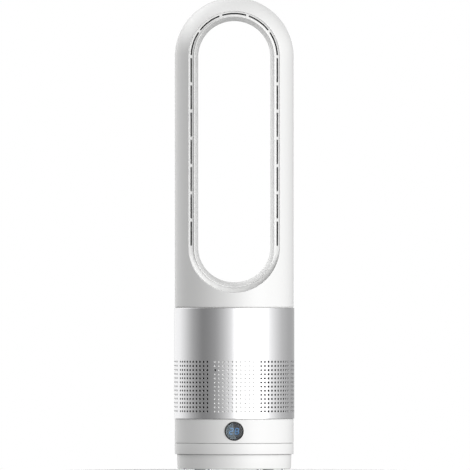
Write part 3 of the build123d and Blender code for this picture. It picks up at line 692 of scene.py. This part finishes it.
def perforated(first, last, start_azimuth, end_azimuth):
    """Part of the sleeve between two azimuths, with real holes. Columns are numbered from the front."""
    shell = Build()
    outer, inner = SLEEVE_R, SLEEVE_R - SHEET
    middle = (outer + inner) / 2
    half_z = ROW_PITCH / 2
    zone_low = TOP_ROW - (HOLE_ROWS - 1) * ROW_PITCH - half_z
    zone_high = TOP_ROW + half_z
    side = math.tan(math.pi / 8)
    half_step = COLUMN_STEP / 2

    def spot(radius, azimuth, z):
        x, y = at(radius, azimuth)
        return x, y, z

    columns = []
    for column in range(first, last + 1):
        azimuth = (column + 0.5) * COLUMN_STEP
        for share in (-1, -side, 0, side):
            columns.append(max(start_azimuth, min(end_azimuth, azimuth + share * half_step)))
    columns.append(end_azimuth)

    def band(z_edges):
        """Plain sheet from a list of (inset, z) down one side and up the other."""
        rings = []
        for azimuth in columns:
            rings.append([spot(radius, azimuth, z) for radius, z in z_edges])
        shell.loops(rings, close_rings=False, close_loop=False)

    rim = 0.45
    rim_turns = [math.pi / 2 * i / 4 for i in range(5)]
    levels = [zone_high + (sleeve_high.z - zone_high - 1) * i / 8 for i in range(9)]
    top = [(outer, z) for z in levels]
    top += [(outer - rim + rim * math.cos(a), sleeve_high.z - rim + rim * math.sin(a)) for a in rim_turns]
    top += [(inner, sleeve_high.z)] + [(inner, z) for z in reversed(levels)]
    band(top)
    foot_levels = [zone_low, zone_low - 3, sleeve_low.z + 1]
    low = [(outer, z) for z in foot_levels]
    low += [(outer - rim + rim * math.cos(a), sleeve_low.z + rim - rim * math.sin(a)) for a in rim_turns]
    low += [(inner, sleeve_low.z)] + [(inner, z) for z in reversed(foot_levels)]
    band(low)

    def inside_edges(azimuth):
        return max(start_azimuth, min(end_azimuth, azimuth))

    hole = [(math.degrees(HOLE_R * math.cos(math.pi * i / 8) / middle), HOLE_R * math.sin(math.pi * i / 8))
            for i in range(16)]
    lip = [(a * 1.07, b * 1.07) for a, b in hole]
    for column in range(first, last + 1):
        centre = (column + 0.5) * COLUMN_STEP
        solid = column % SOLID_EVERY == SOLID_EVERY // 2
        for row in range(HOLE_ROWS):
            z = TOP_ROW - row * ROW_PITCH
            if solid:
                across = [inside_edges(centre + k * half_step) for k in (-1, -side, 0, side, 1)]
                for radius in (outer, inner):
                    rows = [[spot(radius, azimuth, z + share * half_z) for azimuth in across]
                            for share in (-1, -side, 0, side, 1)]
                    shell.loops(rows, close_rings=False, close_loop=False)
                continue
            edge = [(inside_edges(centre + a), z + b) for a, b in cell_ring(half_step, half_z)]
            rings = [
                [spot(outer, a, b) for a, b in edge],
                [spot(outer, centre + a, z + b) for a, b in lip],
                [spot(outer - 0.12, centre + a, z + b) for a, b in hole],
                [spot(inner, centre + a, z + b) for a, b in hole],
                [spot(inner, a, b) for a, b in edge],
            ]
            shell.loops(rings, close_loop=False)
    zone = [zone_high - row * ROW_PITCH + half_z * (share - 1)
            for row in range(HOLE_ROWS) for share in (1, side, 0, -side)] + [zone_low]
    for azimuth in (start_azimuth, end_azimuth):
        rows = [[spot(radius, azimuth, z) for z in zone] for radius in (outer, inner)]
        shell.loops(rows, close_rings=False, close_loop=False)
        for outline in (top, low):
            count = len(outline)
            start = len(shell.points)
            shell.points.extend(spot(radius, azimuth, z) for radius, z in outline)
            shell.face(range(start, start + count))
    return shell


def sleeve():
    """Front part of the perforated sleeve."""
    shell = perforated(-28, 27, -SPLIT, SPLIT)
    return shell.make("perforated_sleeve", aluminium, "column", ["front_sleeve"], "brushed_sleeve")


def cover():
    """Rear cover, which goes on from the sleeve round the back."""
    shell = perforated(27, 60, 360 - COVER_EDGE, COVER_EDGE)
    return shell.make("perforated_rear_cover", aluminium, "rear_cover", ["rear_cover"], "brushed_sleeve")


def filter_pleats():
    """Pleated paper of the filter."""
    pleats = 54
    start, end = 100.4, 259.6
    outer, inner = 86.2, 67.3
    thickness = 0.45
    sheet = Build()
    rings = []
    for i in range(2 * pleats + 1):
        azimuth = start + (end - start) * i / (2 * pleats)
        radius, side = (outer, 1) if i % 2 == 0 else (inner, -1)
        x0, y0 = at(radius + side * thickness / 2, azimuth)
        x1, y1 = at(radius - side * thickness * 2.5, azimuth)
        low, high = media_low.z, media_high.z
        rings.append([(x0, y0, low), (x0, y0, high), (x1, y1, high), (x1, y1, low)])
    sheet.loops(rings, close_loop=False)
    for ring_start in (0, len(sheet.points) - 4):
        sheet.face(range(ring_start, ring_start + 4))
    return sheet.make("filter_pleats", paper, "rear_cover", ["filter_media"], "filter_paper", 20.0)


# --- turned parts
def pedestal():
    """Pedestal shell with its rounded foot, deck, post and the cut-out for the mains inlet."""
    low, deck, post_top, neck_top = pan_low.z, 28.2, 33.4, pan_high.z
    foot_r, side_r = 97.6, pan_high.x
    post_r, neck_r, bore_r = 30.0, 24.0, 18.0
    inside_r = foot_r - WALL
    section = rounded([(foot_r, low, 1.4), (side_r, deck, 0.8), (post_r, deck, 0), (post_r, post_top, 0),
                       (neck_r, post_top, 0), (neck_r, neck_top, 0.3), (bore_r, neck_top, 0.3),
                       (bore_r, deck - WALL, 0), (inside_r, deck - WALL, 0), (inside_r, low, 0)])
    shell = Build()
    shell.lathe(section, ROUND)
    made = shell.make("pedestal_shell", white, "base", ["base_pan"], "white_shell")
    hole = Build()
    play = 0.25
    corner_r = 1.2
    half_w = (inlet_high.x - inlet_low.x) / 2 + play
    half_h = (inlet_high.z - inlet_low.z) / 2 + play
    mid_z = (inlet_low.z + inlet_high.z) / 2
    outline = rounded([(-half_w, mid_z - half_h, corner_r), (half_w, mid_z - half_h, corner_r),
                       (half_w, mid_z + half_h, corner_r), (-half_w, mid_z + half_h, corner_r)], 4)
    hole.loops([[(x, y, z) for x, z in outline] for y in (88.0, 110.0)], close_loop=False)
    count = len(outline)
    hole.face(range(count))
    hole.face(range(count, 2 * count))
    cut(made, hole)
    return made


def turning_ring():
    """Lower ring that turns on the pedestal, with the turntable floor inside it, and above it a seam whose
    inner wall is coloured dark grey as painted shade of the gap.
    """
    low, top = turn_low.z, 47.2
    plate_low, plate_high = 30.2, 33.0
    bore_r = 30.1
    inner = BODY_R - WALL
    spigot_out, spigot_in = inner - 0.3, inner - 2.7
    outside = rounded([(inner, low, 0), (BODY_R, low, 0.9), (BODY_R, top, 0.5), (spigot_out, top, 0)])
    spigot = [(spigot_out, turn_high.z), (spigot_in, turn_high.z)]
    plate = [(spigot_in, plate_high), (bore_r, plate_high), (bore_r, plate_low), (inner, plate_low)]
    # The spigot wall inside the seam takes the second finish, the painted shade of the gap.
    seam = range(len(outside) - 1, len(outside))
    ring = Build()
    ring.lathe(outside + spigot + plate, ROUND, second=seam)
    return ring.make("turning_ring", (white, seam_painted_shade), "column", ["turntable"], "white_shell")


def feet():
    """Four stepped rubber pads."""
    reach = 58.5
    pad_r, groove_r, groove = 9.25, 5.6, 0.5
    section = rounded([(0, groove, 0), (groove_r, groove, 0), (groove_r + 0.6, 0, 0.2), (pad_r, 0, 0.7),
                       (pad_r, foot_high.z, 0), (0, foot_high.z, 0)])
    pads = Build()
    for x in (-reach, reach):
        for y in (-reach, reach):
            pads.lathe(section, 48, Matrix.Translation((x, y, 0)))
    return pads.make("foot_pads", rubber, "base", ["rubber_feet"], "foot_rubber")


PATCH_HALF = 19.0         # half-width of the square of the band that holds the display's pocket
PATCH_STEPS = 16
BAND_STEPS = 200          # steps round the rest of the band


@functools.cache
def band_outline(radius):
    """Points round the band at one radius, with even steps in X across the display's patch."""
    found = []
    for i in range(PATCH_STEPS + 1):
        x = -PATCH_HALF + 2 * PATCH_HALF * i / PATCH_STEPS
        found.append((x, -math.sqrt(radius * radius - x * x)))
    edge = math.degrees(math.asin(PATCH_HALF / radius))
    return found + [at(radius, edge + (360 - 2 * edge) * i / BAND_STEPS) for i in range(1, BAND_STEPS)]


def display_band():
    """Band of the column with the round pocket for the display."""
    low, top = 47.8, band_high.z
    outer, inner = BODY_R, BODY_R - WALL
    patch = [-PATCH_HALF + 2 * PATCH_HALF * i / PATCH_STEPS for i in range(PATCH_STEPS + 1)]
    heights = [DISPLAY_Z + p for p in patch]
    rim_turns = [math.pi / 2 * i / 5 for i in range(6)]
    band = Build()

    upper = [(outer, heights[-1])]
    upper += [(outer - RIM + RIM * math.cos(a), top - RIM + RIM * math.sin(a)) for a in rim_turns]
    upper += [(inner, top), (inner, heights[-1])]
    lower = [(outer, heights[0])]
    lower += [(outer - RIM + RIM * math.cos(a), low + RIM - RIM * math.sin(a)) for a in rim_turns]
    lower += [(inner, low), (inner, heights[0])]
    for outline in (upper, lower):
        rings = [[(*band_outline(radius)[i], z) for radius, z in outline]
                 for i in range(len(band_outline(outer)))]
        band.loops(rings, close_rings=False)
    for radius in (outer, inner):
        around = band_outline(radius)
        rings = [[(x, y, z) for z in heights] for x, y in around[PATCH_STEPS:] + around[:1]]
        band.loops(rings, close_rings=False, close_loop=False)

    square = [(PATCH_HALF, p) for p in patch[:-1]] + [(-p, PATCH_HALF) for p in patch[:-1]]
    square += [(-PATCH_HALF, -p) for p in patch[:-1]] + [(p, -PATCH_HALF) for p in patch[:-1]]
    rings = []
    for radius, shares in ((outer, (0, 0.5, 0.85, 1)), (inner, (1, 0.5, 0))):
        for share in shares:
            ring = []
            for x, z in square:
                scale = 1 + (POCKET_R / math.hypot(x, z) - 1) * share
                ring.append((x * scale, -math.sqrt(radius * radius - (x * scale) ** 2),
                             DISPLAY_Z + z * scale))
            rings.append(ring)
    band.loops(rings, close_loop=False)

    deck_low, deck_high, deck_r = 84.2, 86.7, inner + 0.4
    band.lathe([(0, deck_low), (deck_r, deck_low), (deck_r, deck_high), (0, deck_high)], 128)
    collar_back, collar_front, collar_r = 90.8, 97.2, 17.9
    collar = [(POCKET_R, collar_back), (collar_r, collar_back), (collar_r, collar_front),
              (POCKET_R, collar_front)]
    band.lathe(collar, 64, facing_front(DISPLAY_Z))
    return band.make("display_band", white, "column", ["display_housing"], "white_shell")


# --- display
def facing_front(z):
    """Placement whose own Z points along -Y, at the display's height."""
    return Matrix.Translation((0, 0, z)) @ Matrix.Rotation(math.radians(90), 4, "X")


def display():
    """Bezel ring, and the smoked lens with its slightly crowned front."""
    bezel_front, bezel_back = -bezel_low.y, -bezel_high.y
    hole_r = LENS_R + 0.1
    ring = Build()
    section = rounded([(hole_r, bezel_back, 0), (BEZEL_R, bezel_back, 0), (BEZEL_R, bezel_front, 0.5),
                       (hole_r, bezel_front, 0.3)])
    ring.lathe(section, 96, facing_front(DISPLAY_Z))
    ring.make("display_bezel", bezel_black, "display_button", ["display_ring"], "black_gloss")

    front, back = -lens_low.y, -lens_high.y
    crown = 0.9
    radii = [LENS_R * i / 8 for i in range(9)]
    section = [(r, back) for r in radii] + [(r, front - crown * (r / LENS_R) ** 2) for r in reversed(radii)]
    glass = Build()
    glass.lathe(section, 96, facing_front(DISPLAY_Z))
    glass.make("display_glass", lens_glass, "display_button", ["display_lens"], "smoked_lens")


def bar(build, x0, z0, x1, z1, thick, front, back, slant=0.0):
    """One lit segment with pointed ends, standing on the display face."""
    a, b = Vector((x0, z0)), Vector((x1, z1))
    along = (b - a).normalized()
    across = Vector((-along.y, along.x)) * thick / 2
    tip = along * thick / 2
    outline = [a, a + tip + across, b - tip + across, b, b - tip - across, a + tip - across]
    ring = [(p.x + slant * p.y, p.y + DISPLAY_Z) for p in outline]
    build.loops([[(x, y, z) for x, z in ring] for y in (front, back)], close_loop=False)
    count = len(ring)
    start = len(build.points) - 2 * count
    build.face(range(start, start + count))
    build.face(range(start + count, start + 2 * count))


# Ends of each segment on a grid one digit wide and two high, and the segments of each digit.
SEGMENTS = {"a": (0, 2, 1, 2), "b": (1, 1, 1, 2), "c": (1, 0, 1, 1), "d": (0, 0, 1, 0), "e": (0, 0, 0, 1),
            "f": (0, 1, 0, 2), "g": (0, 1, 1, 1)}
DIGITS = {"2": "abged", "8": "abcdefg"}


def display_number():
    """Two-digit number and a ring of ticks, behind the lens."""
    face = led_low.y
    number = Build()
    wide, tall, thick = 5.5, 4.8, 1.7
    lean = 0.06
    for left, digit in ((-7.7, "2"), (2.0, "8")):
        for name in DIGITS[digit]:
            x0, z0, x1, z1 = SEGMENTS[name]
            bar(number, left + x0 * wide, (z0 - 1) * tall, left + x1 * wide, (z1 - 1) * tall, thick,
                face - 0.25, face, lean)
    number.make("display_digits", digit_blue, "column", slot="display_face")
    ticks = Build()
    count = 40
    inner, outer = 11.3, 12.5
    for i in range(count):
        angle = 2 * math.pi * i / count
        dx, dz = math.sin(angle), math.cos(angle)
        bar(ticks, inner * dx, inner * dz, outer * dx, outer * dz, 0.5, face - 0.15, face)
    ticks.make("display_ticks", tick_blue, "column", slot="display_face")


def front_backing():
    """White strip behind the front block of holes, and the receiver's dark dome in one of them."""
    inner, outer = SLEEVE_R - SHEET - 0.7, SLEEVE_R - SHEET - 0.08
    low, high = TOP_ROW - (HOLE_ROWS - 0.5) * ROW_PITCH, TOP_ROW + ROW_PITCH / 2
    half_turn = 21
    steps = 40
    strip = Build()
    rings = []
    for i in range(steps + 1):
        azimuth = half_turn * (2 * i / steps - 1)
        x0, y0 = at(inner, azimuth)
        x1, y1 = at(outer, azimuth)
        rings.append([(x0, y0, low), (x1, y1, low), (x1, y1, high), (x0, y0, high)])
    strip.loops(rings, close_loop=False)
    strip.face(range(4))
    strip.face(range(len(strip.points) - 4, len(strip.points)))
    strip.make("front_backing", inner_white, "column", slot="inner_white")

    dome_r, dome_rise, back, shoulder = 1.7, 0.7, 101.0, 102.2
    arc = [(dome_r * math.cos(a), shoulder + dome_rise * math.sin(a))
           for a in (math.pi / 2 * i / 5 for i in range(1, 5))]
    profile = [(0, back), (dome_r, back), (dome_r, shoulder), *arc, (0, shoulder + dome_rise)]
    column, row = -4.5, 2
    turn = Matrix.Rotation(math.radians(column * COLUMN_STEP), 4, "Z")
    dome = Build()
    dome.lathe(profile, 24, turn @ facing_front(TOP_ROW - row * ROW_PITCH))
    dome.make("receiver_dome", component, "column", slot="component_black")


# --- carried-over CAD parts
CARRIED = {
    "base_plate": inner_white, "ballast_plate": steel, "base_screws": zinc, "power_inlet": dark,
    "inlet_pins": brass, "glide_ring": acetal, "swing_gear": acetal, "gear_screws": zinc,
    "swing_pinion": acetal, "swing_shaft": steel, "swing_motor": steel, "swing_motor_screws": zinc,
    "turntable_screws": zinc, "led_display": led_face, "display_board": board_green,
    "push_switches": component, "main_board": board_green, "board_components": component,
    "board_screws": zinc, "chassis": inner_white, "ir_receiver": component, "side_prefilters": mesh_black,
    "intake_cage": inner_white, "cover_frame": dark, "cover_magnets": nickel, "catch_plates": steel,
    "filter_frame": inner_white, "filter_seals": foam, "isolation_ring": foam, "blower_bucket": dark,
    "impeller": wheel_grey, "impeller_nut": zinc, "motor_shaft": steel, "motor_rotor": steel,
    "motor_stator": copper, "motor_housing": steel, "motor_bearings": steel, "motor_sleeve": foam,
    "diffuser": dark, "motor_cap": dark, "diffuser_gasket": foam, "terminal_block": acetal,
    "motor_lead": component, "adapter_ring": joint, "adapter_screws": zinc, "duct_vanes": inner_white,
    "loop_screws": zinc,
}


def dress_carried_nodes():
    """Gives the CAD parts that show as they are their finishes."""
    for node, finish in CARRIED.items():
        slots = frame["nodes"][node].data.materials
        slots.clear()
        slots.append(finish)


# --- studio
# Brightness of the studio at the height of the object, by the azimuth the light comes from: a big
# white wall behind on the left, a dark wall on the left, and a wide softbox in front on the right.
WALLS = ((-180, 0.7), (-160, 1.05), (-130, 1.05), (-110, 0.8), (-87, 0.43), (-64, 0.24), (-50, 0.28),
         (-35, 0.37), (-20, 0.6), (-4, 0.95), (12, 2.1), (35, 3.0), (56, 2.2), (70, 1.1), (90, 0.77),
         (104, 0.58), (130, 0.45), (150, 0.45), (168, 0.55), (180, 0.7))
# The same above the object: one softbox in front on the right, and one behind on the left.
CEILING = ((-180, 0.7), (-150, 2.2), (-120, 3.2), (-95, 1.8), (-68, 0.0), (-45, 0.0), (-20, 0.2), (0, 0.7),
           (25, 1.9), (50, 2.8), (75, 2.0), (100, 0.4), (115, 0.0), (150, 0.2), (180, 0.7))
# Sine of the elevation at which the ceiling's light takes over, and at which it has faded overhead.
CEILING_STARTS = 0.12
CEILING_WHOLE = 0.45
FADE_STARTS = 0.5
FADE_WHOLE = 0.9
OVERHEAD_SHARE = 0.55
FLOOR_SHARE = 0.3          # brightness of light from below, against the walls
PEAK = 3.2


def around(nodes, stops):
    """Colour ramp of grey levels by azimuth."""
    ramp = nodes.new("ShaderNodeValToRGB")
    elements = ramp.color_ramp.elements
    elements.remove(elements[1])
    for i, (azimuth, level) in enumerate(stops):
        position = (azimuth + 180) / 360
        grey = level / PEAK
        element = elements[0] if i == 0 else elements.new(position)
        element.position = position
        element.color = (grey, grey, grey, 1)
    return ramp


def spread(nodes, low, high, to_low, to_high):
    """Smooth step of a value from one level to another."""
    node = nodes.new("ShaderNodeMapRange")
    node.interpolation_type = "SMOOTHSTEP"
    node.inputs["From Min"].default_value = low
    node.inputs["From Max"].default_value = high
    node.inputs["To Min"].default_value = to_low
    node.inputs["To Max"].default_value = to_high
    return node


def studio_world():
    """White to the camera; to the object, the walls at its own height and the ceiling's light above it."""
    world = bpy.data.worlds.new("studio")
    bpy.context.scene.world = world
    world.use_nodes = True
    nodes = world.node_tree.nodes
    links = world.node_tree.links
    nodes.clear()
    where = nodes.new("ShaderNodeTexCoord")
    parts = nodes.new("ShaderNodeSeparateXYZ")
    links.new(where.outputs["Generated"], parts.inputs["Vector"])
    forward = nodes.new("ShaderNodeMath")
    forward.operation = "MULTIPLY"
    forward.inputs[1].default_value = -1.0
    links.new(parts.outputs["Y"], forward.inputs[0])
    turn = nodes.new("ShaderNodeMath")
    turn.operation = "ARCTAN2"
    links.new(parts.outputs["X"], turn.inputs[0])
    links.new(forward.outputs["Value"], turn.inputs[1])
    share = nodes.new("ShaderNodeMapRange")
    share.inputs["From Min"].default_value = -math.pi
    share.inputs["From Max"].default_value = math.pi
    links.new(turn.outputs["Value"], share.inputs["Value"])
    walls = around(nodes, WALLS)
    links.new(share.outputs["Result"], walls.inputs["Fac"])
    ceiling = around(nodes, CEILING)
    links.new(share.outputs["Result"], ceiling.inputs["Fac"])
    upward = spread(nodes, CEILING_STARTS, CEILING_WHOLE, 0.0, 1.0)
    links.new(parts.outputs["Z"], upward.inputs["Value"])
    both = nodes.new("ShaderNodeMix")
    both.data_type = "RGBA"
    links.new(upward.outputs["Result"], both.inputs["Factor"])
    links.new(walls.outputs["Color"], both.inputs["A"])
    links.new(ceiling.outputs["Color"], both.inputs["B"])
    downward = spread(nodes, -0.5, 0.0, FLOOR_SHARE * PEAK, PEAK)
    links.new(parts.outputs["Z"], downward.inputs["Value"])
    glow = nodes.new("ShaderNodeBackground")
    overhead = spread(nodes, FADE_STARTS, FADE_WHOLE, 1.0, OVERHEAD_SHARE)
    links.new(parts.outputs["Z"], overhead.inputs["Value"])
    strength = nodes.new("ShaderNodeMath")
    strength.operation = "MULTIPLY"
    links.new(downward.outputs["Result"], strength.inputs[0])
    links.new(overhead.outputs["Result"], strength.inputs[1])
    links.new(both.outputs["Result"], glow.inputs["Color"])
    links.new(strength.outputs["Value"], glow.inputs["Strength"])
    paper_white = nodes.new("ShaderNodeBackground")
    paper_white.inputs["Color"].default_value = (1, 1, 1, 1)
    seen = nodes.new("ShaderNodeLightPath")
    choose = nodes.new("ShaderNodeMixShader")
    links.new(seen.outputs["Is Camera Ray"], choose.inputs["Fac"])
    links.new(glow.outputs["Background"], choose.inputs[1])
    links.new(paper_white.outputs["Background"], choose.inputs[2])
    out = nodes.new("ShaderNodeOutputWorld")
    links.new(choose.outputs["Shader"], out.inputs["Surface"])


def display_glint():
    """Narrow softbox, seen only in the display's glass, as a slanted reflection on its left half."""
    data = bpy.data.lights.new("display_softbox", "AREA")
    data.shape = "RECTANGLE"
    data.size = 0.8
    data.size_y = 1.6
    data.energy = 12.0
    data.color = (0.72, 0.9, 1.0)
    made = bpy.data.objects.new("display_softbox", data)
    made.location = (-0.38, -2.1, DISPLAY_Z / 1000)
    made.rotation_euler = (math.radians(90), math.radians(-12), 0)
    made.visible_camera = False
    made.visible_diffuse = False
    made.visible_transmission = False
    bpy.context.scene.collection.objects.link(made)
    only_glass = bpy.data.collections.new("lit_by_softbox")
    only_glass.objects.link(bpy.data.objects["display_glass"])
    made.light_linking.receiver_collection = only_glass


def studio_floor():
    """Thin white disc under the feet, which shows but doesn't light the object."""
    ground = Build()
    radius, top, bottom = 300.0, -0.3, -2.0
    ground.lathe([(0, bottom), (radius, bottom), (radius, top), (0, top)], 96)
    mesh = bpy.data.meshes.new("floor")
    mesh.from_pydata([(x / 1000, y / 1000, z / 1000) for x, y, z in ground.points], [], ground.faces)
    made = bpy.data.objects.new("studio_floor", mesh)
    bpy.context.scene.collection.objects.link(made)
    mesh.materials.append(surface("floor_paper", (0.9, 0.9, 0.9), 1.0))
    made.visible_diffuse = False
    made.visible_glossy = False
    made.visible_shadow = False


def camera():
    """Long lens, level with the middle of the object. Lengths are metres, and the lens is millimetres."""
    lens = 1600.0
    view_high = 0.8084
    centre = Vector((0.0014, 0, 0.4052))
    data = bpy.data.cameras.new("photo_camera")
    data.lens = lens
    data.sensor_width = 36.0
    distance = view_high / 2 * lens / (data.sensor_width / 2)
    data.clip_start = 1.0
    data.clip_end = 100.0
    made = bpy.data.objects.new("photo_camera", data)
    made.location = centre - Vector((0, distance, 0))
    made.rotation_euler = (math.pi / 2, 0, 0)
    bpy.context.scene.collection.objects.link(made)
    bpy.context.scene.camera = made


# --- making the object and its studio
camera()
loop_front()
loop_rear()
liner()
channel_floor()
sleeve()
cover()
filter_pleats()
pedestal()
turning_ring()
feet()
display_band()
display()
display_number()
front_backing()
dress_carried_nodes()
studio_world()
display_glint()
studio_floor()
bpy.context.scene.view_settings.view_transform = "Standard"
